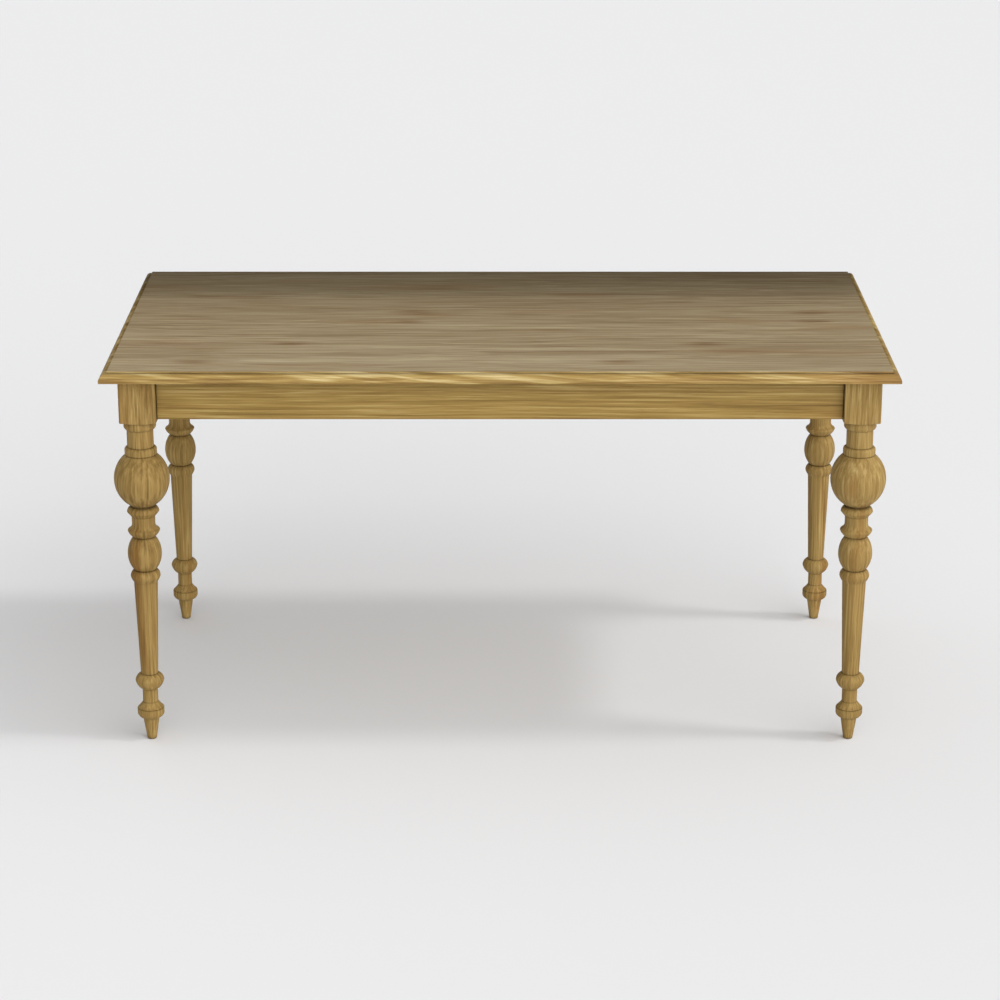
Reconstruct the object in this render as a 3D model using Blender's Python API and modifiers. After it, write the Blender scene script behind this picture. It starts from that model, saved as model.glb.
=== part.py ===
"""A miniature dining table at 1:12 scale, standing on Z = 0 with its length along X.

One moulded top sits on a frame of four aprons, dowelled into four turned legs. A brace crosses
each corner of the frame, and a peg through it holds the top in place. Lengths are in metres.
"""

import math

import bmesh
import bpy

MM = 0.001

# Driving dimensions: the table as a whole
LENGTH = 125.0 * MM
DEPTH = 66.7 * MM
HEIGHT = 63.5 * MM
LEG_INSET = 5.55 * MM  # from the edge of the top to the axis of a leg
JOINT_GAP = 0.05 * MM  # the glue line left between two pieces

# Top, with its edge moulding from the bottom up: a fillet, an ovolo, a ledge and a step
TOP_THICKNESS = 1.7 * MM
EDGE_FILLET = 0.32 * MM
OVOLO_WIDTH = 1.1 * MM
OVOLO_STEPS = 6
EDGE_LEDGE = 0.1 * MM
EDGE_STEP = 0.33 * MM
STEP_LEAN = 0.02 * MM  # how far the step leans inwards as it rises

# Square block at the head of each leg, and the shoulder where it turns round
BLOCK_SIDE = 5.8 * MM
SHOULDER_HEIGHT = 54.3 * MM
SHOULDER_RADIUS = 2.55 * MM
SHOULDER_SLOPE = 0.18  # how far the shoulder rises for each unit that it runs outwards

# Aprons, set back from the outer faces of the blocks
APRON_SETBACK = 1.3 * MM
APRON_THICKNESS = 1.8 * MM
APRON_BOTTOM = 54.9 * MM

# Braces across the corners of the frame
BRACE_WIDTH = 2.1 * MM
BRACE_HEIGHT = 4.4 * MM

# Dowels between aprons and legs, and pegs from the braces into the top
PIN_DIAMETER = 0.8 * MM
BORE_DIAMETER = 0.9 * MM
DOWEL_DEPTH = 2.0 * MM  # into each of the two pieces that a dowel joins
DOWEL_HEIGHTS = {"lower": 56.9 * MM, "upper": 59.8 * MM}
PEG_DEPTH = 1.0 * MM  # into the top
BORE_SPARE = 0.1 * MM  # how much deeper a bore is than its pin

# Facets of round shapes
LEG_SIDES = 24
PIN_SIDES = 12
ARC_STEPS = 2
SWELL_STEPS = 5

# The turning, down its outside: radius and height in millimetres of each point, and how the
# outline reaches it. A number is the rise of an arc as a share of its chord, hollow if negative,
# and SWELL is part of an ellipse that is centred on the axis.
SWELL = "swell"
TURNING = (
    # Collar under the block
    (2.55, 53.70, 0),
    (2.13, 52.90, 0.20),
    # Neck
    (2.11, 52.85, 0),
    (2.11, 50.03, 0),
    # Band
    (2.56, 49.60, 0.20),
    (2.56, 48.90, 0),
    (2.48, 48.72, 0),
    # Bulb
    (4.42, 44.70, SWELL),
    (1.87, 40.28, SWELL),
    # Upper ring
    (1.87, 40.12, 0),
    (2.56, 39.22, 0.15),
    (1.92, 38.46, 0.03),
    (1.91, 38.34, 0),
    # Spool
    (1.87, 38.22, 0),
    (1.86, 37.20, 0),
    # Middle ring
    (2.48, 36.22, -0.15),
    (2.57, 36.00, 0.10),
    (1.72, 34.95, 0.08),
    # Vase
    (2.72, 32.10, SWELL),
    (1.74, 29.40, SWELL),
    # Lower ring
    (2.38, 28.25, 0.15),
    (1.94, 27.38, 0.05),
    # Tapered shaft
    (1.91, 27.28, 0),
    (1.39, 11.48, 0),
    # Bead
    (2.31, 10.30, 0.16),
    (1.26, 8.78, 0.11),
    # Ankle
    (1.23, 8.68, 0),
    (1.24, 6.58, 0),
    # Foot collar
    (2.10, 5.62, -0.03),
    (2.17, 5.40, 0),
    (2.17, 4.55, 0),
    (1.38, 3.78, 0.15),
    # Peg foot
    (1.31, 3.65, 0),
    (0.79, 0.28, 0),
    (0.60, 0.00, 0.20),
)

# Worked out from the dimensions above
UNDERSIDE = HEIGHT - TOP_THICKNESS
FRAME_TOP = UNDERSIDE - JOINT_GAP
LEG_X = LENGTH / 2 - LEG_INSET
LEG_Y = DEPTH / 2 - LEG_INSET
BLOCK_HALF = BLOCK_SIDE / 2
APRON_OFFSET = BLOCK_HALF - APRON_SETBACK - APRON_THICKNESS / 2  # outwards of the leg's axis
APRON_HEIGHT = FRAME_TOP - APRON_BOTTOM
BRACE_NEAR = BLOCK_SIDE + JOINT_GAP * math.sqrt(2)  # X + Y on the brace's side facing the leg
BRACE_FAR = BRACE_NEAR + BRACE_WIDTH * math.sqrt(2)
BRACE_MIDDLE = (BRACE_NEAR + BRACE_FAR) / 4  # its centre, along X and along Y from the leg

# Corner names, with the signs of their X and Y, anticlockwise from above
CORNERS = {
    "front_left": (-1, -1),
    "front_right": (1, -1),
    "back_right": (1, 1),
    "back_left": (-1, 1),
}
QUARTER_TURN = math.pi / 2
ALONG_X = (0, QUARTER_TURN, 0)  # turns a pin, which is made along Z
ALONG_Y = (QUARTER_TURN, 0, 0)

WOOD_COLOURS = {
    "top_wood": (0.33, 0.24, 0.13),
    "leg_wood": (0.38, 0.27, 0.12),
    "apron_wood": (0.35, 0.25, 0.11),
    "brace_wood": (0.45, 0.34, 0.19),
    "dowel_wood": (0.52, 0.40, 0.24),
}


def clear_scene():
    for thing in list(bpy.data.objects):
        bpy.data.objects.remove(thing)


def make_collection(name, hidden=False):
    collection = bpy.data.collections.new(name)
    collection.hide_render = hidden
    bpy.context.scene.collection.children.link(collection)
    return collection


def make_wood(name, colour):
    material = bpy.data.materials.new(name)
    material.use_nodes = True
    shader = material.node_tree.nodes["Principled BSDF"]
    shader.inputs["Base Color"].default_value = (*colour, 1)
    shader.inputs["Roughness"].default_value = 0.5
    shader.inputs["Metallic"].default_value = 0
    return material


def add_part(parts, name, mesh, wood, location, rotation=(0, 0, 0)):
    part = bpy.data.objects.new(name, mesh)
    parts.objects.link(part)
    part.location = location
    part.rotation_euler = rotation
    if not mesh.materials:
        mesh.materials.append(wood)
    return part


def add_helper(helpers, name, data, location=(0, 0, 0), rotation=(0, 0, 0)):
    """A hidden object that other shapes are made from."""
    helper = bpy.data.objects.new(name, data)
    helpers.objects.link(helper)
    helper.location = location
    helper.rotation_euler = rotation
    helper.hide_render = True
    helper.display_type = "WIRE"
    return helper


def mesh_from(shape, name):
    mesh = bpy.data.meshes.new(name)
    shape.to_mesh(mesh)
    shape.free()
    return mesh


def box_mesh(name, size):
    shape = bmesh.new()
    bmesh.ops.create_cube(shape, size=1)
    bmesh.ops.scale(shape, vec=size, verts=shape.verts)
    return mesh_from(shape, name)


def pin_mesh(name, diameter, length):
    """A cylinder along Z, centred on the origin."""
    shape = bmesh.new()
    bmesh.ops.create_cone(
        shape,
        cap_ends=True,
        segments=PIN_SIDES,
        radius1=diameter / 2,
        radius2=diameter / 2,
        depth=length,
    )
    mesh = mesh_from(shape, name)
    smooth_round_parts(mesh)
    return mesh


def smooth_round_parts(mesh):
    mesh.shade_smooth()
    mesh.set_sharp_from_angle(angle=math.radians(35))


def add_boolean(thing, operation, other):
    modifier = thing.modifiers.new(operation.title(), "BOOLEAN")
    modifier.operation = operation
    modifier.solver = "EXACT"
    modifier.object = other


def applied_mesh(thing):
    """The mesh that the object's modifiers make."""
    graph = bpy.context.evaluated_depsgraph_get()
    return bpy.data.meshes.new_from_object(thing.evaluated_get(graph))


# Turned legs


def arc_points(start, end, rise):
    """Points of a circular arc, less its start. The rise is a share of the chord."""
    if rise == 0:
        return [end]
    along = (end[0] - start[0], end[1] - start[1])
    half_angle = 2 * math.atan(2 * rise)
    points = []
    for step in range(1, ARC_STEPS + 1):
        angle = half_angle * (2 * step / ARC_STEPS - 1)
        forward = (math.sin(angle) / math.sin(half_angle) + 1) / 2
        outward = (math.cos(angle) - math.cos(half_angle)) / math.sin(half_angle) / 2
        radius = start[0] + along[0] * forward - along[1] * outward
        height = start[1] + along[1] * forward + along[0] * outward
        points.append((radius, height))
    return points


def swell_points(start, end):
    """Points of an ellipse centred on the axis, less its start. Its widest point is an end."""
    opens = end[0] > start[0]
    widest, narrowest = (end, start) if opens else (start, end)
    whole_turn = math.acos(narrowest[0] / widest[0])
    half_height = (narrowest[1] - widest[1]) / math.sin(whole_turn)
    points = []
    for step in range(1, SWELL_STEPS + 1):
        share = step / SWELL_STEPS
        turn = whole_turn * (1 - share if opens else share)
        points.append((widest[0] * math.cos(turn), widest[1] + half_height * math.sin(turn)))
    return points


def spindle_outline():
    """(radius, height) down the whole turning, from inside the block to the floor."""
    head = (SHOULDER_HEIGHT + BLOCK_HALF) / MM
    points = [(0, head), (SHOULDER_RADIUS / MM, head)]
    for radius, height, reach in TURNING:
        target = (radius, height)
        if reach == SWELL:
            points += swell_points(points[-1], target)
        else:
            points += arc_points(points[-1], target, reach)
    points.append((0, 0))
    return [(radius * MM, height * MM) for radius, height in points]


def shoulder_outline():
    """Wider than the block, with the shoulder's slope for its underside."""
    top = HEIGHT
    rim = SHOULDER_HEIGHT + SHOULDER_SLOPE * (BLOCK_SIDE - SHOULDER_RADIUS)
    return [
        (0, top),
        (BLOCK_SIDE, top),
        (BLOCK_SIDE, rim),
        (SHOULDER_RADIUS, SHOULDER_HEIGHT),
        (0, SHOULDER_HEIGHT),
    ]


def add_turning(helpers, name, outline):
    """Spins an outline, which runs down its outer side, about Z."""
    mesh = bpy.data.meshes.new(name)
    vertices = [(radius, 0, height) for radius, height in outline]
    edges = [(i, i + 1) for i in range(len(outline) - 1)]
    mesh.from_pydata(vertices, edges, [])
    turning = add_helper(helpers, name, mesh)
    spin = turning.modifiers.new("Spin", "SCREW")
    spin.axis = "Z"
    spin.steps = LEG_SIDES
    spin.render_steps = LEG_SIDES
    spin.use_merge_vertices = True
    spin.merge_threshold = 0.001 * MM
    return turning


def make_leg_mesh(helpers):
    """A leg about its own axis, with the bores of the front left corner: towards +X and +Y."""
    block_height = FRAME_TOP - SHOULDER_HEIGHT
    block = add_helper(
        helpers,
        "leg_block",
        box_mesh("leg_block", (BLOCK_SIDE, BLOCK_SIDE, block_height)),
        location=(0, 0, FRAME_TOP - block_height / 2),
    )
    add_boolean(block, "INTERSECT", add_turning(helpers, "shoulder", shoulder_outline()))
    add_boolean(block, "UNION", add_turning(helpers, "spindle", spindle_outline()))
    bore = pin_mesh("leg_bore", BORE_DIAMETER, 2 * (DOWEL_DEPTH + BORE_SPARE))
    for height in DOWEL_HEIGHTS.values():
        for location, rotation in (
            ((BLOCK_HALF, -APRON_OFFSET, height), ALONG_X),
            ((-APRON_OFFSET, BLOCK_HALF, height), ALONG_Y),
        ):
            cutter = add_helper(helpers, "leg_bore", bore, location, rotation)
            add_boolean(block, "DIFFERENCE", cutter)
    mesh = applied_mesh(block)
    mesh.name = "turned_leg"
    mesh.transform(block.matrix_world)
    smooth_round_parts(mesh)
    return mesh


def make_legs(parts, helpers, wood):
    mesh = make_leg_mesh(helpers)
    for turn, (corner, (side, end)) in enumerate(CORNERS.items()):
        location = (side * LEG_X, end * LEG_Y, 0)
        add_part(parts, f"leg_{corner}", mesh, wood, location, (0, 0, turn * QUARTER_TURN))


# Apron frame


def make_apron(parts, helpers, wood, name, leg_spacing, location, rotation=(0, 0, 0)):
    length = leg_spacing - BLOCK_SIDE - 2 * JOINT_GAP
    board = box_mesh(name, (length, APRON_THICKNESS, APRON_HEIGHT))
    apron = add_part(parts, name, board, wood, location, rotation)
    bore = pin_mesh("apron_bore", BORE_DIAMETER, 2 * (DOWEL_DEPTH + BORE_SPARE))
    for side in (-1, 1):
        for height in DOWEL_HEIGHTS.values():
            place = (side * length / 2, 0, height - location[2])
            cutter = add_helper(helpers, "apron_bore", bore, place, ALONG_X)
            cutter.parent = apron
            add_boolean(apron, "DIFFERENCE", cutter)


def make_aprons(parts, helpers, wood):
    height = APRON_BOTTOM + APRON_HEIGHT / 2
    for end, name in ((-1, "apron_front"), (1, "apron_back")):
        location = (0, end * (LEG_Y + APRON_OFFSET), height)
        make_apron(parts, helpers, wood, name, 2 * LEG_X, location)
    for side, name in ((-1, "apron_left"), (1, "apron_right")):
        location = (side * (LEG_X + APRON_OFFSET), 0, height)
        make_apron(parts, helpers, wood, name, 2 * LEG_Y, location, (0, 0, QUARTER_TURN))


def make_dowels(parts, wood):
    """Two dowels in each of the eight joints between an apron and a leg."""
    mesh = pin_mesh("apron_dowel", PIN_DIAMETER, 2 * DOWEL_DEPTH)
    for corner, (side, end) in CORNERS.items():
        for level, height in DOWEL_HEIGHTS.items():
            location = (side * (LEG_X - BLOCK_HALF), end * (LEG_Y + APRON_OFFSET), height)
            add_part(parts, f"dowel_{corner}_long_{level}", mesh, wood, location, ALONG_X)
            location = (side * (LEG_X + APRON_OFFSET), end * (LEG_Y - BLOCK_HALF), height)
            add_part(parts, f"dowel_{corner}_short_{level}", mesh, wood, location, ALONG_Y)


# Corner braces


def brace_curve():
    """The brace in plan, where its leg is at the origin and the frame lies towards +X and +Y."""
    inner_face = APRON_THICKNESS / 2 - APRON_OFFSET + JOINT_GAP
    outline = [
        (BRACE_NEAR - inner_face, inner_face),
        (BRACE_FAR - inner_face, inner_face),
        (inner_face, BRACE_FAR - inner_face),
        (inner_face, BRACE_NEAR - inner_face),
    ]
    curve = bpy.data.curves.new("brace_outline", "CURVE")
    curve.dimensions = "2D"
    curve.fill_mode = "BOTH"
    curve.extrude = BRACE_HEIGHT / 2
    spline = curve.splines.new("POLY")
    spline.points.add(len(outline) - 1)
    for point, (x, y) in zip(spline.points, outline):
        point.co = (x, y, 0, 1)
    spline.use_cyclic_u = True
    return curve


def make_brace_mesh(helpers):
    blank = add_helper(helpers, "brace_outline", brace_curve())
    weld = blank.modifiers.new("Weld", "WELD")
    weld.merge_threshold = 0.001 * MM
    brace = add_helper(helpers, "brace_blank", applied_mesh(blank))
    bore = pin_mesh("brace_bore", BORE_DIAMETER, 2 * BRACE_HEIGHT)
    middle = (BRACE_MIDDLE, BRACE_MIDDLE, 0)
    add_boolean(brace, "DIFFERENCE", add_helper(helpers, "brace_bore", bore, middle))
    mesh = applied_mesh(brace)
    mesh.name = "corner_brace"
    return mesh


def make_braces(parts, helpers, wood):
    mesh = make_brace_mesh(helpers)
    height = FRAME_TOP - BRACE_HEIGHT / 2
    for turn, (corner, (side, end)) in enumerate(CORNERS.items()):
        location = (side * LEG_X, end * LEG_Y, height)
        rotation = (0, 0, turn * QUARTER_TURN)
        add_part(parts, f"corner_brace_{corner}", mesh, wood, location, rotation)


# Top and its pegs


def peg_position(side, end, height):
    return (side * (LEG_X - BRACE_MIDDLE), end * (LEG_Y - BRACE_MIDDLE), height)


def moulding_steps():
    """How far each facet of the edge runs inwards, and how far it rises, above the fillet."""
    ovolo_height = TOP_THICKNESS - EDGE_FILLET - EDGE_STEP
    run, rise = 0, 0
    for step in range(1, OVOLO_STEPS + 1):
        turn = QUARTER_TURN * step / OVOLO_STEPS
        next_run = OVOLO_WIDTH * (1 - math.cos(turn))
        next_rise = ovolo_height * math.sin(turn)
        yield next_run - run, next_rise - rise
        run, rise = next_run, next_rise
    yield EDGE_LEDGE, 0
    yield STEP_LEAN, EDGE_STEP


def make_top_mesh():
    """A board as thick as the fillet, whose upper face is drawn in and up along the moulding."""
    shape = bmesh.new()
    bmesh.ops.create_cube(shape, size=1)
    bmesh.ops.scale(shape, vec=(LENGTH, DEPTH, EDGE_FILLET), verts=shape.verts)
    bmesh.ops.translate(shape, vec=(0, 0, EDGE_FILLET / 2), verts=shape.verts)
    shape.normal_update()
    upper = [face for face in shape.faces if face.normal.z > 0.5]
    for run, rise in moulding_steps():
        bmesh.ops.inset_region(shape, faces=upper, thickness=run, depth=rise, use_even_offset=True)
    mesh = mesh_from(shape, "tabletop")
    smooth_round_parts(mesh)
    return mesh


def make_top(parts, helpers, wood):
    top = add_part(parts, "tabletop", make_top_mesh(), wood, (0, 0, UNDERSIDE))
    bore = pin_mesh("top_bore", BORE_DIAMETER, 2 * (PEG_DEPTH + BORE_SPARE))
    for side, end in CORNERS.values():
        cutter = add_helper(helpers, "top_bore", bore, peg_position(side, end, UNDERSIDE))
        add_boolean(top, "DIFFERENCE", cutter)


def make_pegs(parts, wood):
    """Each peg runs from the underside of a brace into the top."""
    foot = FRAME_TOP - BRACE_HEIGHT
    head = UNDERSIDE + PEG_DEPTH
    mesh = pin_mesh("top_peg", PIN_DIAMETER, head - foot)
    for corner, (side, end) in CORNERS.items():
        location = peg_position(side, end, (foot + head) / 2)
        add_part(parts, f"top_peg_{corner}", mesh, wood, location)


def main():
    clear_scene()
    parts = make_collection("miniature_dining_table")
    helpers = make_collection("helpers", hidden=True)
    woods = {name: make_wood(name, colour) for name, colour in WOOD_COLOURS.items()}
    make_legs(parts, helpers, woods["leg_wood"])
    make_aprons(parts, helpers, woods["apron_wood"])
    make_dowels(parts, woods["dowel_wood"])
    make_braces(parts, helpers, woods["brace_wood"])
    make_top(parts, helpers, woods["top_wood"])
    make_pegs(parts, woods["dowel_wood"])


main()
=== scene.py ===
"""The miniature dining table in its finish: fine meshes, oiled wood, a pale floor and soft light.

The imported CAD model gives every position. The top, legs and aprons are replaced by finer pieces,
and the hidden braces, dowels and pegs keep their CAD meshes. Lengths are in metres.
"""

import math

import bmesh
import bpy
import numpy as np
from mathutils import Matrix, Vector


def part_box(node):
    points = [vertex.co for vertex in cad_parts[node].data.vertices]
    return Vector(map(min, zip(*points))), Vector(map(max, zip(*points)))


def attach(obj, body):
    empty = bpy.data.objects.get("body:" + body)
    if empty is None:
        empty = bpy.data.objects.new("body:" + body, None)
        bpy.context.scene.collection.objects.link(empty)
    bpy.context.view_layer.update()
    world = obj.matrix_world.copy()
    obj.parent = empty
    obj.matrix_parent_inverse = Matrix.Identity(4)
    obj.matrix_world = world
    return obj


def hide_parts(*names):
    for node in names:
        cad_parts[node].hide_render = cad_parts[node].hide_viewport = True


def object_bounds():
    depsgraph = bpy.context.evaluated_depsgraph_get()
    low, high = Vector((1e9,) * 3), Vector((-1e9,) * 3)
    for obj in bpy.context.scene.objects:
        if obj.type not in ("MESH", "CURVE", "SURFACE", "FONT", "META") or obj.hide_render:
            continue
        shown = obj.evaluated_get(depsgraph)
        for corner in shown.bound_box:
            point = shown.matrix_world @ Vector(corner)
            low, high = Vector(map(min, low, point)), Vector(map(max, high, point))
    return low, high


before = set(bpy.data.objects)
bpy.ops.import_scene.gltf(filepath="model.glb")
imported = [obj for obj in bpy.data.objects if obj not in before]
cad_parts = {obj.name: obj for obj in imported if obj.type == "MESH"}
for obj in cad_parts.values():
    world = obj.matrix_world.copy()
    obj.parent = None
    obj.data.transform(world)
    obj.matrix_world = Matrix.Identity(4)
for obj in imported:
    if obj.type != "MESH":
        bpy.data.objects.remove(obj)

MM = 0.001
BODY = "root"

# The frame, as the CAD has it
CAD_LOW, CAD_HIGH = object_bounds()
TOP_LOW, TOP_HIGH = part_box("tabletop")
LENGTH = TOP_HIGH.x - TOP_LOW.x
DEPTH = TOP_HIGH.y - TOP_LOW.y
TOP_THICKNESS = TOP_HIGH.z - TOP_LOW.z
FRAME_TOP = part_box("leg_front_left")[1].z
CORNERS = ("front_left", "front_right", "back_right", "back_left")
APRONS = ("front", "back", "left", "right")
QUARTER_TURN = math.pi / 2

# Edge moulding of the top, from the bottom up, all round
EDGE_FILLET = 0.32 * MM
OVOLO_WIDTH = 1.1 * MM
OVOLO_STEPS = 14
EDGE_LEDGE = 0.1 * MM
EDGE_STEP = 0.33 * MM
STEP_LEAN = 0.02 * MM
STEP_FOOT = TOP_THICKNESS - EDGE_STEP
ARRIS = 0.06 * MM  # how far an arris of the top is eased
ARRIS_MIDDLE = 0.3 * ARRIS  # how far the middle of an eased arris stands in from both its faces
STEP_SHADE = 0.28  # least crease shade on the upright of the step
TOP_HEART = 40  # millimetres across from the heart of the tree to the middle of the top

# Square block at the head of each leg
BLOCK_HALF = 2.9 * MM
BLOCK_ARRIS = 0.17 * MM  # radius of its upright arrises
BLOCK_EASE = 0.09 * MM  # how far its top and bottom arrises are eased
SHOULDER_HEIGHT = 54.3 * MM
SHOULDER_RADIUS = 2.55 * MM
SHOULDER_SLOPE = 0.18  # rise of the shoulder's underside for its reach

# Aprons
APRON_EASE = 0.12 * MM
APRON_EASE_STEPS = 3
APRON_SLANT = 0.004

# Where each apron lies in its plank, in millimetres: a length and a width further on for each one
APRON_PLANK = (0, 40, -35)
APRON_PLANK_STEP = (210, 75, 0)

# Facets of the turned legs
LEG_SIDES = 96
ARRIS_OFFSETS = (-1.8, -1.2, -0.6, 0.6, 1.2, 1.8)  # degrees, for more sides round each arris
ARC_STEPS = 8
SWELL_STEPS = 22
LINE_STEP = 1.2  # millimetres between two points of a straight part

# Edges that bend more than this, in degrees, are sharp
SHARP_BEND = 20
SHARP_APRON_BEND = 50

# The painted shade in inner corners, a dark line along each crease
CREASE_REACH = 0.13  # millimetres that it reaches out of the corner
CREASE_ROOM = 1.5 * CREASE_REACH  # shortest line beside the corner that shows where it ends
LEAST_CREASE = 0.35
SHARPEST_PLAIN_BEND = math.radians(22)  # a corner that bends less than this has none

# Where each leg lies in its plank, in millimetres from the heart of the tree, and how the grain
# runs out of it
LEG_PLANKS = ((97, 4, 14), (0, 2, 13), (190, -12, 6), (280, 9, -11))
LEG_SLANT = 0.05

# How the legs' figure follows their turning, with radii in millimetres
MEAN_RADIUS = 2.2
LEAST_RADIUS = 1.2
FOLLOW_SHARE = 0.6

# The turning, down its outside: radius and height in millimetres of each point, and how the
# outline reaches it. A number is the rise of an arc as a share of its chord, hollow if negative
# and straight if nought, and SWELL is part of an ellipse that is centred on the axis.
SWELL = "swell"
TURNING = (
    # Collar under the block
    (2.55, 53.70, 0),
    (2.13, 52.90, 0.20),
    # Neck
    (2.11, 52.85, 0),
    (2.11, 50.03, 0),
    # Band
    (2.56, 49.60, 0.20),
    (2.56, 48.90, 0),
    (2.48, 48.72, 0),
    # Bulb
    (4.42, 44.70, SWELL),
    (1.87, 40.28, SWELL),
    # Upper ring
    (1.87, 40.12, 0),
    (2.56, 39.22, 0.15),
    (1.92, 38.46, 0.03),
    (1.91, 38.34, 0),
    # Spool
    (1.87, 38.22, 0),
    (1.86, 37.20, 0),
    # Middle ring
    (2.48, 36.22, -0.15),
    (2.57, 36.00, 0.10),
    (1.72, 34.95, 0.08),
    # Vase
    (2.72, 32.10, SWELL),
    (1.74, 29.40, SWELL),
    # Lower ring
    (2.38, 28.25, 0.15),
    (1.94, 27.38, 0.05),
    # Tapered shaft
    (1.91, 27.28, 0),
    (1.39, 11.48, 0),
    # Bead
    (2.31, 10.30, 0.16),
    (1.26, 8.78, 0.11),
    # Ankle
    (1.23, 8.68, 0),
    (1.24, 6.58, 0),
    # Foot collar, with a scored line round it
    (2.10, 5.57, -0.03),
    (2.05, 5.49, 0),
    (2.17, 5.42, 0),
    (2.17, 4.55, 0),
    (1.38, 3.78, 0.15),
    # Peg foot
    (1.31, 3.65, 0),
    (0.79, 0.28, 0),
    (0.60, 0.00, 0.20),
)

# View
VIEW_ELEVATION = math.radians(18.4)
VIEW_DISTANCE = 500 * MM
LENS = 106.3
NEAREST_SEEN = 0.01
FARTHEST_SEEN = 20

# Studio: the floor, and a card whose lower edge stands just clear of the top's back edge
FLOOR_SIDE = 6.0
FLOOR_COLOUR = (0.79, 0.79, 0.797, 1)
FLAG_WIDTH = 1.24 * LENGTH
FLAG_HEIGHT = 31 * MM
FLAG_LEAN = math.radians(45)
FLAG_GAP_BEHIND = 0.5 * MM
FLAG_GAP_ABOVE = 0.2 * MM
FLAG_COLOUR = (0.06, 0.06, 0.06, 1)

# Light
AMBIENT = 0.16
SOFT_LIGHTS = (
    # direction towards its middle, strength, and how narrow it is
    ((0.75, -0.60, 0.25), 2.5, 4),
    ((0.10, -0.97, 0.24), 2.4, 7),
    ((1.00, -0.10, 0.30), 0.3, 3),
    ((-0.60, 0.75, 0.30), 0.42, 3),
    ((0.00, 0.00, 1.00), 0.41, 2),
)
BACKDROP = 0.84  # brightness behind the table, for the camera alone
KEY_STRENGTH = 0.65
KEY_SIZE = math.radians(9)
KEY_DIRECTION = (0.616, -0.07, 0.788)


# Meshes


def add_object(name, data):
    thing = bpy.data.objects.new(name, data)
    bpy.context.scene.collection.objects.link(thing)
    return thing


def new_piece(name, mesh, slot, *nodes):
    """Adds a piece that rides on the table and stands for these CAD nodes."""
    piece = add_object(name, mesh)
    mesh.materials.append(WOODS[slot])
    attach(piece, BODY)
    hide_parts(*nodes)


def smooth(mesh, degrees=SHARP_BEND):
    mesh.shade_smooth()
    mesh.set_sharp_from_angle(angle=math.radians(degrees))


def mesh_of_rings(name, rings):
    """A closed mesh through rings of points, from the upper end to the lower one."""
    count = len(rings[0])
    vertices = [point for ring in rings for point in ring]
    faces = []
    for row in range(len(rings) - 1):
        upper = row * count
        lower = upper + count
        for i in range(count):
            j = (i + 1) % count
            faces.append((upper + j, upper + i, lower + i, lower + j))
    faces.append(tuple(range(count)))
    last = (len(rings) - 1) * count
    faces.append(tuple(last + i for i in reversed(range(count))))
    mesh = bpy.data.meshes.new(name)
    mesh.from_pydata(vertices, [], faces)
    mesh.validate()
    return mesh


def store(mesh, name, kind, values):
    """Keeps a value for each vertex, for the materials to read."""
    attribute = mesh.attributes.new(name, kind, "POINT")
    field = "vector" if kind == "FLOAT_VECTOR" else "value"
    attribute.data.foreach_set(field, np.asarray(values, np.float32).ravel())


def lay_grain(mesh, axis, shift, slant=0, scale=None):
    """Stores where each point lies in its plank: along the grain, then across it, in millimetres.

    The plank's own grain runs out of the piece by the slant, and the scale draws it in and out.
    """
    places = np.empty(len(mesh.vertices) * 3, np.float32)
    mesh.vertices.foreach_get("co", places)
    places = places.reshape(-1, 3) / MM
    along = places[:, axis]
    across, depth = np.delete(places, axis, axis=1).T
    if scale is not None:
        across = across * scale(along)
        depth = depth * scale(along)
    grain = np.column_stack([along, across, depth + slant * along]) + np.array(shift)
    store(mesh, "grain", "FLOAT_VECTOR", grain)


def bend(before, here, after):
    """How sharply an outline turns outwards at a point, in radians. It runs downwards."""
    first = (here[0] - before[0], here[1] - before[1])
    second = (after[0] - here[0], after[1] - here[1])
    cross = first[0] * second[1] - first[1] * second[0]
    dot = first[0] * second[0] + first[1] * second[1]
    return math.atan2(cross, dot)


def point_towards(start, end, distance):
    share = distance / math.dist(start, end)
    return tuple(a + (b - a) * share for a, b in zip(start, end))


def with_creases(outline):
    """[(radius, height, crease)]: painted shade, up to 1 in each inner corner and 0 a little way
    from it.
    """
    marked = [(*outline[0], 0.0)]
    for before, here, after in zip(outline, outline[1:], outline[2:]):
        sharpness = bend(before, here, after)
        if sharpness < SHARPEST_PLAIN_BEND:
            marked.append((*here, 0.0))
            continue
        if math.dist(before, here) > CREASE_ROOM:
            marked.append((*point_towards(here, before, CREASE_REACH), 0.0))
        marked.append((*here, min(1.0, sharpness / QUARTER_TURN + LEAST_CREASE)))
        if math.dist(here, after) > CREASE_ROOM:
            marked.append((*point_towards(here, after, CREASE_REACH), 0.0))
    marked.append((*outline[-1], 0.0))
    return marked


def line(start, end):
    """Points of a straight part, less its start."""
    parts = max(1, math.ceil(math.dist(start, end) / LINE_STEP))
    points = []
    for step in range(1, parts + 1):
        points.append(tuple(a + (b - a) * step / parts for a, b in zip(start, end)))
    return points


def arc(start, end, rise):
    """Points of a circular arc, less its start. The rise is a share of the chord."""
    along = (end[0] - start[0], end[1] - start[1])
    half_angle = 2 * math.atan(2 * rise)
    points = []
    for step in range(1, ARC_STEPS + 1):
        angle = half_angle * (2 * step / ARC_STEPS - 1)
        forward = (math.sin(angle) / math.sin(half_angle) + 1) / 2
        outward = (math.cos(angle) - math.cos(half_angle)) / math.sin(half_angle) / 2
        radius = start[0] + along[0] * forward - along[1] * outward
        height = start[1] + along[1] * forward + along[0] * outward
        points.append((radius, height))
    return points


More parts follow.
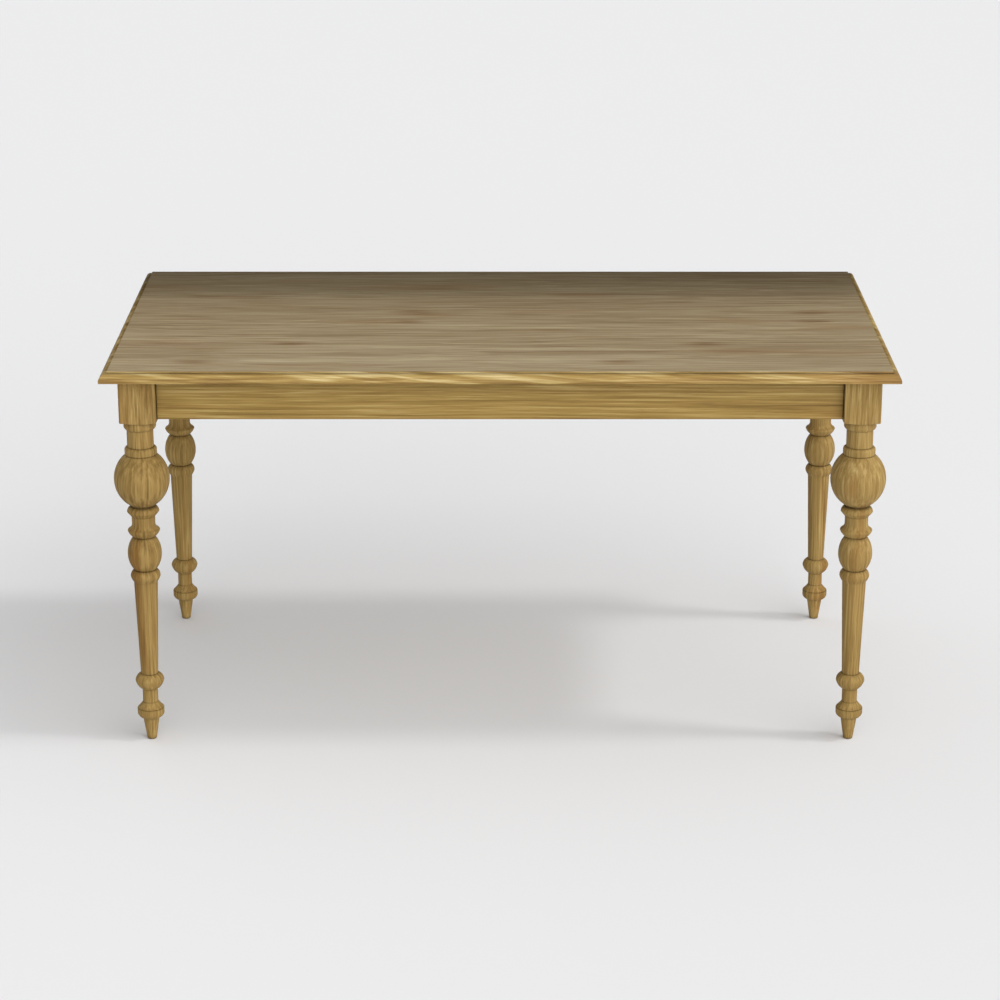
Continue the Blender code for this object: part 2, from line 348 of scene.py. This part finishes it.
def swell(start, end):
    """Points of an ellipse centred on the axis, less its start. Its widest point is an end."""
    opens = end[0] > start[0]
    widest, narrowest = (end, start) if opens else (start, end)
    whole_turn = math.acos(narrowest[0] / widest[0])
    half_height = (narrowest[1] - widest[1]) / math.sin(whole_turn)
    points = []
    for step in range(1, SWELL_STEPS + 1):
        share = step / SWELL_STEPS
        turn = whole_turn * (1 - share if opens else share)
        points.append((widest[0] * math.cos(turn), widest[1] + half_height * math.sin(turn)))
    return points


def spindle_outline():
    """(radius, height) in millimetres down the turning, from the shoulder to the floor."""
    points = [(SHOULDER_RADIUS / MM, SHOULDER_HEIGHT / MM)]
    for radius, height, reach in TURNING:
        start, end = points[-1], (radius, height)
        if reach == SWELL:
            points += swell(start, end)
        elif reach == 0:
            points += line(start, end)
        else:
            points += arc(start, end, reach)
    return points


def block_reach(angle, inset):
    """How far the block reaches from the leg's axis in a direction, with its arrises rounded."""
    half = BLOCK_HALF - inset
    folded = abs((angle + QUARTER_TURN / 2) % QUARTER_TURN - QUARTER_TURN / 2)
    flat = half - BLOCK_ARRIS
    if half * math.tan(folded) <= flat:
        return half / math.cos(folded)
    to_arris = flat * (math.cos(folded) + math.sin(folded))
    return to_arris + math.sqrt(to_arris**2 - 2 * flat**2 + BLOCK_ARRIS**2)


def leg_angles():
    """Even steps, with more of them round the arrises of the block."""
    even = [2 * math.pi * i / LEG_SIDES for i in range(LEG_SIDES)]
    arris = [
        (side + 0.5) * QUARTER_TURN + math.radians(offset)
        for side in range(4)
        for offset in ARRIS_OFFSETS
    ]
    return sorted(even + arris)


def leg_mesh(name):
    """A leg about its own axis: an eased square block, its turned shoulder and the spindle."""
    angles = leg_angles()

    def ring(reach_and_height):
        points = []
        for angle in angles:
            reach, height = reach_and_height(angle)
            points.append((reach * math.cos(angle), reach * math.sin(angle), height))
        return points

    def block_ring(inset, lift=None):
        """A ring of the block's outline: at its top, or lifted off the shoulder's slope."""

        def reach_and_height(angle):
            reach = block_reach(angle, inset)
            if lift is None:
                return reach, FRAME_TOP - BLOCK_EASE + inset
            return reach, SHOULDER_HEIGHT + SHOULDER_SLOPE * (reach - SHOULDER_RADIUS) + lift

        return ring(reach_and_height)

    rings = [
        block_ring(BLOCK_EASE),
        block_ring(0),
        block_ring(0, BLOCK_EASE),
        block_ring(BLOCK_EASE / 3, BLOCK_EASE / 3),
        block_ring(BLOCK_EASE, 0),
    ]
    creases = [0] * len(rings)
    for radius, height, crease in with_creases(spindle_outline()):
        rings.append(ring(lambda angle: (radius * MM, height * MM)))
        creases.append(crease)
    mesh = mesh_of_rings(name, rings)
    # The crease attribute holds the painted shade of the turning's inner corners
    store(mesh, "crease", "FLOAT", np.repeat(creases, len(angles)))
    smooth(mesh)
    return mesh


def make_legs():
    """Four turned legs of one shape, each with its own figure."""
    outline = np.array(spindle_outline())[::-1]

    def follow(height):
        """Draws the figure in and out with the turning, part of the way."""
        radius = np.interp(height, outline[:, 1], outline[:, 0])
        whole_way = MEAN_RADIUS / np.maximum(radius, LEAST_RADIUS)
        return 1 + FOLLOW_SHARE * (whole_way - 1)

    for corner, plank in zip(CORNERS, LEG_PLANKS):
        low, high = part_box(f"leg_{corner}")
        middle = (low + high) / 2
        mesh = leg_mesh(f"turned_leg_{corner}")
        lay_grain(mesh, 2, plank, LEG_SLANT, follow)
        mesh.transform(Matrix.Translation((middle.x, middle.y, 0)))
        new_piece(f"turned_leg_{corner}", mesh, "leg_wood", f"leg_{corner}")


def apron_mesh(name, low, high):
    """A board with eased arrises."""
    shape = bmesh.new()
    bmesh.ops.create_cube(shape, size=1)
    bmesh.ops.scale(shape, vec=high - low, verts=shape.verts)
    bmesh.ops.translate(shape, vec=(low + high) / 2, verts=shape.verts)
    bmesh.ops.bevel(
        shape,
        geom=shape.edges[:],
        offset=APRON_EASE,
        segments=APRON_EASE_STEPS,
        profile=0.5,
        affect="EDGES",
        clamp_overlap=True,
    )
    mesh = bpy.data.meshes.new(name)
    shape.to_mesh(mesh)
    shape.free()
    smooth(mesh, SHARP_APRON_BEND)
    return mesh


def make_aprons():
    """Four boards between the blocks, with their grain along them."""
    for number, side in enumerate(APRONS):
        node = f"apron_{side}"
        mesh = apron_mesh(f"{node}_board", *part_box(node))
        axis = 0 if side in ("front", "back") else 1
        plank = [start + number * step for start, step in zip(APRON_PLANK, APRON_PLANK_STEP)]
        lay_grain(mesh, axis, plank, APRON_SLANT)
        new_piece(f"{node}_board", mesh, "apron_wood", node)


def edge_profile():
    """(inset, height) up the moulded edge, from the underside, with eased arrises."""
    ovolo_height = STEP_FOOT - EDGE_FILLET
    points = [(ARRIS, 0), (ARRIS_MIDDLE, ARRIS_MIDDLE), (0, ARRIS), (0, EDGE_FILLET)]
    for step in range(1, OVOLO_STEPS + 1):
        angle = QUARTER_TURN * step / OVOLO_STEPS
        inset = OVOLO_WIDTH * (1 - math.cos(angle))
        points.append((inset, EDGE_FILLET + ovolo_height * math.sin(angle)))
    ledge = OVOLO_WIDTH + EDGE_LEDGE
    face = ledge + STEP_LEAN
    points.append((ledge, STEP_FOOT))
    points.append((face, TOP_THICKNESS - ARRIS))
    points.append((face + ARRIS_MIDDLE, TOP_THICKNESS - ARRIS_MIDDLE))
    points.append((face + ARRIS, TOP_THICKNESS))
    return points


def make_top():
    """One board with its edge moulded all round. Its mesh keeps which points are on the edge."""
    rings = []
    creases = []
    edges = []
    profile = [(-inset / MM, height / MM) for inset, height in reversed(edge_profile())]
    for reach, height_mm, crease in with_creases(profile):
        x = LENGTH / 2 + reach * MM
        y = DEPTH / 2 + reach * MM
        height = height_mm * MM
        z = TOP_LOW.z + height
        rings.append([(x, y, z), (-x, y, z), (-x, -y, z), (x, -y, z)])
        under_face = height < TOP_THICKNESS - ARRIS_MIDDLE / 2
        on_step = under_face and height > STEP_FOOT - ARRIS
        # The upright of the step takes at least STEP_SHADE of painted shade
        creases.append(max(crease, STEP_SHADE) if on_step else crease)
        edges.append(1.0 if under_face and height > 0 else 0.0)
    mesh = mesh_of_rings("moulded_top", rings)
    smooth(mesh)
    store(mesh, "crease", "FLOAT", np.repeat(creases, 4))
    store(mesh, "edge", "FLOAT", np.repeat(edges, 4))
    lay_grain(mesh, 0, (0, TOP_HEART, 0))
    new_piece("moulded_top", mesh, "top_wood", "tabletop")


# Materials

# Noise of the wood: features for each millimetre along the grain, across it and in depth
DRIFT_SCALE = (0.024, 0.075, 0.075)
RINGS_ALONG = 0.012
RINGS_ACROSS = 0.03
STREAKS_ALONG = 0.015
BAND_SCALE = (0.010, 0.16, 0.16)
FIBRE_SCALE = (0.07, 3.2, 3.2)
PORE_SCALE = (0.30, 8.0, 8.0)
WARM_SCALE = (0.03, 0.22, 0.22)
FLAME_SCALE = (0.035, 1.2, 0.3)

# The part of each noise over which its feature goes from none to full
LINE_RANGE = (0.38, 0.62)
FIBRE_RANGE = (0.3, 0.7)
PORE_RANGE = (0.60, 0.72)
WARM_RANGE = (0.54, 0.72)
FLAME_RANGE = (0.40, 0.66)
FLAME_MEAN = 0.25  # taken off, so that the flames don't lighten the whole edge

# Knots in the top: places along and across from its middle in millimetres, and what they do there
KNOT_REPEAT = 66.8
KNOT_PLACES = ((-48.3, -26.8), (-33.8, -15.8), (-14.6, 4.0), (-15.2, -2.0))
KNOTS = [(x + repeat * KNOT_REPEAT, y) for x, y in KNOT_PLACES for repeat in (0, 1)]
KNOT_SCALE = (0.20, 0.45, 0)
KNOT_RANGE = (0.75, 1.7)
KNOT_RAGGEDNESS = 1.6
KNOT_TONE = -0.15
KNOT_WARMTH = 0.8

# Painted shade in inner corners, gloss and relief
CORNER_RANGE = (0.25, 0.9)  # how open a corner is, from its darkest to unshaded
CORNER_GREY = 0.35
CREASE_DARKNESS = 0.5
GLOSS_SPREAD = 0.07
PORE_DEPTH = 0.6
RELIEF_STRENGTH = 0.35
RELIEF_DEPTH = 0.03 * MM

# Looks. Colours are display values from 0 to 255. Drift and line width are in millimetres, rings
# are for each millimetre, and crease is how far the shade of a corner reaches, in metres. The
# rest are weights and shares.
OAK = {
    "drift": 2.6,
    "rings": 1.1,
    "ring_weight": 1.1,
    "band_weight": 0.5,
    "line_width": 0.6,
    "line_weight": 0.22,
    "fibre_weight": 0.7,
    "colours": (
        (0.12, (90, 64, 30)),
        (0.40, (132, 106, 59)),
        (0.58, (150, 125, 76)),
        (0.90, (185, 165, 119)),
    ),
    "warm": (214, 168, 120),
    "warm_share": 0.5,
    "pore": (110, 80, 42),
    "pore_share": 0.35,
    "crease": 0.45 * MM,
    "roughness": 0.55,
    "specular": 0.25,
}
# The top face: the wood's tone, greyed by a painted sheen that the moulded edge doesn't have
TOP_COLOURS_WITH_PAINTED_SHEEN = (
    (0.12, (106, 82, 53)),
    (0.42, (146, 127, 96)),
    (0.58, (161, 144, 113)),
    (0.90, (196, 180, 147)),
)
EDGE_COLOURS = (
    (0.10, (92, 63, 24)),
    (0.38, (136, 108, 56)),
    (0.60, (160, 133, 74)),
    (0.95, (206, 186, 134)),
)
LEG_COLOURS = (
    (0.10, (88, 65, 34)),
    (0.38, (132, 106, 59)),
    (0.60, (154, 128, 76)),
    (0.95, (192, 170, 119)),
)
APRON_COLOURS = (
    (0.10, (86, 62, 24)),
    (0.38, (130, 103, 49)),
    (0.60, (150, 123, 64)),
    (0.95, (188, 165, 108)),
)
LOOKS = {
    "top_wood": {
        **OAK,
        "has_knots": True,
        "colours": TOP_COLOURS_WITH_PAINTED_SHEEN,
        "edge_colours": EDGE_COLOURS,
        "ring_weight": 0.5,
        "line_width": 0.5,
        "line_weight": 0.15,
        "fibre_weight": 0.8,
        "band_weight": 0.35,
        "pore_share": 0.3,
        "warm_share": 0.35,
        "flame_weight": 0.32,
        "flame_slope": 0.10,
    },
    "leg_wood": {
        **OAK,
        "colours": LEG_COLOURS,
        "drift": 1.4,
        "ring_weight": 0.5,
        "band_weight": 0.3,
        "line_width": 0.34,
        "line_weight": 0.16,
        "fibre_weight": 0.6,
        "warm_share": 0.5,
        "roughness": 0.62,
        "specular": 0.1,
        "crease": 1.1 * MM,
    },
    "apron_wood": {
        **OAK,
        "colours": APRON_COLOURS,
        "drift": 1.0,
        "ring_weight": 0.45,
        "line_width": 0.48,
        "line_weight": 0.21,
        "fibre_weight": 0.8,
    },
}

# The woods as they are made, for the pieces to take
WOODS = {}


class Nodes:
    """Adds nodes to a tree. An input takes a value or another node's socket."""

    def __init__(self, tree):
        self.tree = tree

    def add(self, kind, inputs=(), **settings):
        node = self.tree.nodes.new(f"ShaderNode{kind}")
        for name, value in settings.items():
            setattr(node, name, value)
        for name, value in dict(inputs).items():
            self.put(value, node.inputs[name])
        return node

    def put(self, value, socket):
        if isinstance(value, bpy.types.NodeSocket):
            self.tree.links.new(value, socket)
        else:
            socket.default_value = value

    def math(self, operation, *values, clamp=False):
        inputs = dict(enumerate(values))
        return self.add("Math", inputs, operation=operation, use_clamp=clamp).outputs[0]

    def vector(self, operation, *values):
        node = self.add("VectorMath", dict(enumerate(values)), operation=operation)
        gives_number = operation in ("LENGTH", "DOT_PRODUCT")
        return node.outputs["Value" if gives_number else "Vector"]

    def join(self, x, y, z):
        return self.add("CombineXYZ", {0: x, 1: y, 2: z}).outputs[0]

    def stored(self, name, output="Fac"):
        """A value that the mesh keeps for each point."""
        return self.add("Attribute", attribute_name=name).outputs[output]

    def ramp(self, value, low, high, to_low=0, to_high=1, smooth=True):
        """Takes a value from one range to another, and keeps it inside the second."""
        inputs = {
            "Value": value,
            "From Min": low,
            "From Max": high,
            "To Min": to_low,
            "To Max": to_high,
        }
        kind = "SMOOTHSTEP" if smooth else "LINEAR"
        return self.add("MapRange", inputs, interpolation_type=kind).outputs["Result"]

    def noise(self, place, scale, detail=2, roughness=0.5, output="Fac"):
        """Soft noise, drawn out by a scale for each direction: features for each millimetre."""
        stretched = self.vector("MULTIPLY", place, scale)
        inputs = {"Vector": stretched, "Scale": 1, "Detail": detail, "Roughness": roughness}
        return self.add("TexNoise", inputs, normalize=True).outputs[output]

    def mix(self, share, one, other, blend="MIX"):
        """Mixes two colours. The node's colour sockets go by number, because names repeat."""
        inputs = {0: share, 6: one, 7: other}
        return self.add("Mix", inputs, data_type="RGBA", blend_type=blend).outputs[2]


def srgb(red, green, blue):
    """The linear colour, with full alpha, of display values from 0 to 255."""

    def linear(value):
        value /= 255
        return value / 12.92 if value <= 0.04045 else ((value + 0.055) / 1.055) ** 2.4

    return (linear(red), linear(green), linear(blue), 1)


def run_of_grain(nodes, grain, drift):
    """A place in the plank, moved a little across the grain so that the grain isn't straight."""
    wander = nodes.noise(grain, DRIFT_SCALE, output="Color")
    wander = nodes.vector("SUBTRACT", wander, (0.5, 0.5, 0.5))
    wander = nodes.vector("MULTIPLY", wander, (0, drift, drift))
    return nodes.vector("ADD", grain, wander)


def wood_figure(nodes, grain, look):
    """The wood at a place: its tone from 0 dark to 1 light, streaks, fibre, pores and warmth."""
    place = run_of_grain(nodes, grain, look["drift"])
    along, across, depth = nodes.add("SeparateXYZ", {0: place}).outputs
    radius = nodes.vector("LENGTH", nodes.vector("MULTIPLY", place, (0, 1, 1)))
    ring_place = nodes.join(along, radius, across)
    ring_scale = (RINGS_ALONG, look["rings"], RINGS_ACROSS)
    streak_scale = (STREAKS_ALONG, 1 / look["line_width"], 1 / look["line_width"])
    rings = nodes.noise(ring_place, ring_scale, detail=3, roughness=0.6)
    bands = nodes.noise(place, BAND_SCALE)
    streaks = nodes.noise(place, streak_scale, detail=4, roughness=0.62)
    lines = nodes.ramp(streaks, *LINE_RANGE)
    fibre = nodes.noise(place, FIBRE_SCALE, roughness=0.6)
    pores = nodes.ramp(nodes.noise(place, PORE_SCALE, detail=1), *PORE_RANGE)
    warmth = nodes.ramp(nodes.noise(place, WARM_SCALE, roughness=0.6), *WARM_RANGE)
    tone = 0.5
    for layer, weight in (
        (rings, look["ring_weight"]),
        (bands, look["band_weight"]),
        (lines, look["line_weight"]),
        (fibre, look["fibre_weight"]),
    ):
        tone = nodes.math("MULTIPLY_ADD", nodes.math("SUBTRACT", layer, 0.5), weight, tone)
    if "flame_weight" in look:
        run_out = nodes.math("MULTIPLY_ADD", along, look["flame_slope"], depth)
        flame_place = nodes.join(along, run_out, across)
        flames = nodes.noise(flame_place, FLAME_SCALE, detail=2.5, roughness=0.55)
        flames = nodes.math("SUBTRACT", nodes.ramp(flames, *FLAME_RANGE), FLAME_MEAN)
        flames = nodes.math("MULTIPLY", flames, nodes.stored("edge"))
        tone = nodes.math("MULTIPLY_ADD", flames, look["flame_weight"], tone)
    return tone, streaks, fibre, pores, warmth


def with_knots(nodes, grain, streaks, tone, warmth):
    """Darker and redder spots, drawn out along the grain, with ragged ends."""
    for x, y in KNOTS:
        gap = nodes.vector("SUBTRACT", grain, (x, y + TOP_HEART, 0))
        near = nodes.vector("LENGTH", nodes.vector("MULTIPLY", gap, KNOT_SCALE))
        near = nodes.math("MULTIPLY_ADD", streaks, KNOT_RAGGEDNESS, near)
        spot = nodes.ramp(near, *KNOT_RANGE, 1, 0)
        tone = nodes.math("MULTIPLY_ADD", spot, KNOT_TONE, tone)
        warmth = nodes.math("MULTIPLY_ADD", spot, KNOT_WARMTH, warmth)
    return tone, warmth


def colour_ramp(nodes, tone, colours):
    ramp = nodes.add("ValToRGB", {0: tone})
    stops = ramp.color_ramp.elements
    while len(stops) < len(colours):
        stops.new(0.5)
    for stop, (position, colour) in zip(stops, colours):
        stop.position = position
        stop.color = srgb(*colour)
    return ramp.outputs["Color"]


def wood_colour(nodes, tone, pores, warmth, look):
    """The wood's colour for its tone, then its redder patches and its pores."""
    colour = colour_ramp(nodes, tone, look["colours"])
    # The top face's colours hold a painted grey sheen, and the moulded edge takes its own colours
    # without it
    if "edge_colours" in look:
        edge_colour = colour_ramp(nodes, tone, look["edge_colours"])
        colour = nodes.mix(nodes.stored("edge"), colour, edge_colour)
    warmth = nodes.math("MULTIPLY", warmth, look["warm_share"], clamp=True)
    colour = nodes.mix(warmth, colour, srgb(*look["warm"]), "MULTIPLY")
    pore_share = nodes.math("MULTIPLY", pores, look["pore_share"])
    return nodes.mix(pore_share, colour, srgb(*look["pore"]))


def corner_shade(nodes, reach):
    """A grey of painted shade for inner corners: near other surfaces, and in the creases."""
    near = nodes.add("AmbientOcclusion", {"Distance": reach}, samples=6).outputs["AO"]
    near = nodes.ramp(near, *CORNER_RANGE, CORNER_GREY, 1)
    crease = nodes.math("MULTIPLY_ADD", nodes.stored("crease"), -CREASE_DARKNESS, 1)
    grey = nodes.math("MULTIPLY", near, crease)
    return nodes.add("CombineColor", {0: grey, 1: grey, 2: grey}).outputs[0]


def principled(name):
    """(material, its tree, its shader) of a new material."""
    material = bpy.data.materials.new(name)
    material.use_nodes = True
    tree = material.node_tree
    return material, tree, tree.nodes["Principled BSDF"]


def make_wood(name, look, grain_of=None):
    """Oiled wood. Without a function for its grain, it takes the grain that the mesh keeps."""
    material, tree, shader = principled(f"oiled_{name}")
    nodes = Nodes(tree)
    grain = grain_of(nodes) if grain_of else nodes.stored("grain", "Vector")
    tone, streaks, fibre, pores, warmth = wood_figure(nodes, grain, look)
    if look.get("has_knots"):
        tone, warmth = with_knots(nodes, grain, streaks, tone, warmth)
    colour = wood_colour(nodes, tone, pores, warmth, look)
    # The painted shade of inner corners darkens the wood's colour
    colour = nodes.mix(1.0, colour, corner_shade(nodes, look["crease"]), "MULTIPLY")
    nodes.put(colour, shader.inputs["Base Color"])
    dullest = look["roughness"] + GLOSS_SPREAD
    glossiest = look["roughness"] - GLOSS_SPREAD
    roughness = nodes.ramp(fibre, *FIBRE_RANGE, dullest, glossiest)
    nodes.put(roughness, shader.inputs["Roughness"])
    relief = nodes.math("MULTIPLY_ADD", pores, -PORE_DEPTH, fibre)
    inputs = {"Strength": RELIEF_STRENGTH, "Distance": RELIEF_DEPTH, "Height": relief}
    nodes.put(nodes.add("Bump", inputs).outputs["Normal"], shader.inputs["Normal"])
    shader.inputs["Specular IOR Level"].default_value = look["specular"]
    return material


def turned_grain(nodes, place, rotation):
    """A place in metres as one in a plank in millimetres, turned so that the grain is along x."""
    inputs = {"Vector": place, "Rotation": rotation, "Scale": (1 / MM,) * 3}
    return nodes.add("Mapping", inputs).outputs[0]


def brace_grain(nodes):
    """Along each brace, by folding the four corners of the table onto one."""
    place = nodes.add("TexCoord").outputs["Object"]
    return turned_grain(nodes, nodes.vector("ABSOLUTE", place), (0, 0, QUARTER_TURN / 2))


def upright_grain(nodes):
    place = nodes.add("TexCoord").outputs["Object"]
    return turned_grain(nodes, place, (0, QUARTER_TURN, 0))


def make_woods():
    """The woods of the new pieces, and those of the CAD nodes that keep their meshes."""
    for name, look in LOOKS.items():
        WOODS[name] = make_wood(name, look)
    for name, grain_of, prefixes in (
        ("brace_wood", brace_grain, ("corner_brace",)),
        ("dowel_wood", upright_grain, ("dowel", "top_peg")),
    ):
        wood = make_wood(name, OAK, grain_of)
        for node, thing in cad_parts.items():
            if node.startswith(prefixes):
                thing.material_slots[0].material = wood


# Studio


def add_sheet(name, corners, colour, roughness, specular):
    """A flat sheet through four corners, in one plain colour."""
    mesh = bpy.data.meshes.new(name)
    mesh.from_pydata(corners, [], [(0, 1, 2, 3)])
    material, _, shader = principled(f"{name}_paint")
    shader.inputs["Base Color"].default_value = colour
    shader.inputs["Roughness"].default_value = roughness
    shader.inputs["Specular IOR Level"].default_value = specular
    mesh.materials.append(material)
    return add_object(name, mesh)


def make_floor():
    half = FLOOR_SIDE / 2
    corners = [(-half, -half, 0), (half, -half, 0), (half, half, 0), (-half, half, 0)]
    floor = add_sheet("studio_floor", corners, FLOOR_COLOUR, roughness=0.9, specular=0.1)


def make_flag():
    """A dark card behind the top, out of sight, which keeps light off the far side like a wall."""
    half = FLAG_WIDTH / 2
    foot_y = TOP_HIGH.y + FLAG_GAP_BEHIND
    foot_z = TOP_HIGH.z + FLAG_GAP_ABOVE
    head_y = foot_y - FLAG_HEIGHT * math.sin(FLAG_LEAN)
    head_z = foot_z + FLAG_HEIGHT * math.cos(FLAG_LEAN)
    corners = [
        (-half, foot_y, foot_z),
        (half, foot_y, foot_z),
        (half, head_y, head_z),
        (-half, head_y, head_z),
    ]
    flag = add_sheet("flag", corners, FLAG_COLOUR, roughness=1, specular=0.5)
    flag.visible_camera = False


def make_camera():
    data = bpy.data.cameras.new("camera")
    camera = add_object("camera", data)
    target = Vector((0, 0, CAD_HIGH.z / 2))
    back = Vector((0, -math.cos(VIEW_ELEVATION), math.sin(VIEW_ELEVATION)))
    camera.location = target + VIEW_DISTANCE * back
    camera.rotation_euler = (QUARTER_TURN - VIEW_ELEVATION, 0, 0)
    data.lens = LENS
    data.clip_start = NEAREST_SEEN
    data.clip_end = FARTHEST_SEEN
    bpy.context.scene.camera = camera


def make_lights():
    """A soft surround that is brighter on some sides, one soft sun, and a plain backdrop."""
    scene = bpy.context.scene
    scene.view_settings.view_transform = "Standard"
    world = bpy.data.worlds.new("studio")
    scene.world = world
    world.use_nodes = True
    nodes = Nodes(world.node_tree)
    sky = nodes.add("TexCoord").outputs["Generated"]
    strength = AMBIENT
    for direction, brightness, narrowness in SOFT_LIGHTS:
        facing = nodes.vector("DOT_PRODUCT", sky, Vector(direction).normalized())
        lobe = nodes.math("POWER", nodes.math("MAXIMUM", facing, 0), narrowness)
        strength = nodes.math("MULTIPLY_ADD", lobe, brightness, strength)
    seen = nodes.add("LightPath").outputs["Is Camera Ray"]
    strength = nodes.ramp(seen, 0, 1, strength, BACKDROP, smooth=False)
    background = world.node_tree.nodes["Background"]
    background.inputs["Color"].default_value = (1, 1, 1, 1)
    nodes.put(strength, background.inputs["Strength"])
    sun = bpy.data.lights.new("key", "SUN")
    sun.energy = KEY_STRENGTH
    sun.angle = KEY_SIZE
    key = add_object("key", sun)
    key.rotation_euler = Vector(KEY_DIRECTION).to_track_quat("Z", "Y").to_euler()


make_woods()
make_top()
make_aprons()
make_legs()
make_floor()
make_flag()
make_lights()
make_camera()
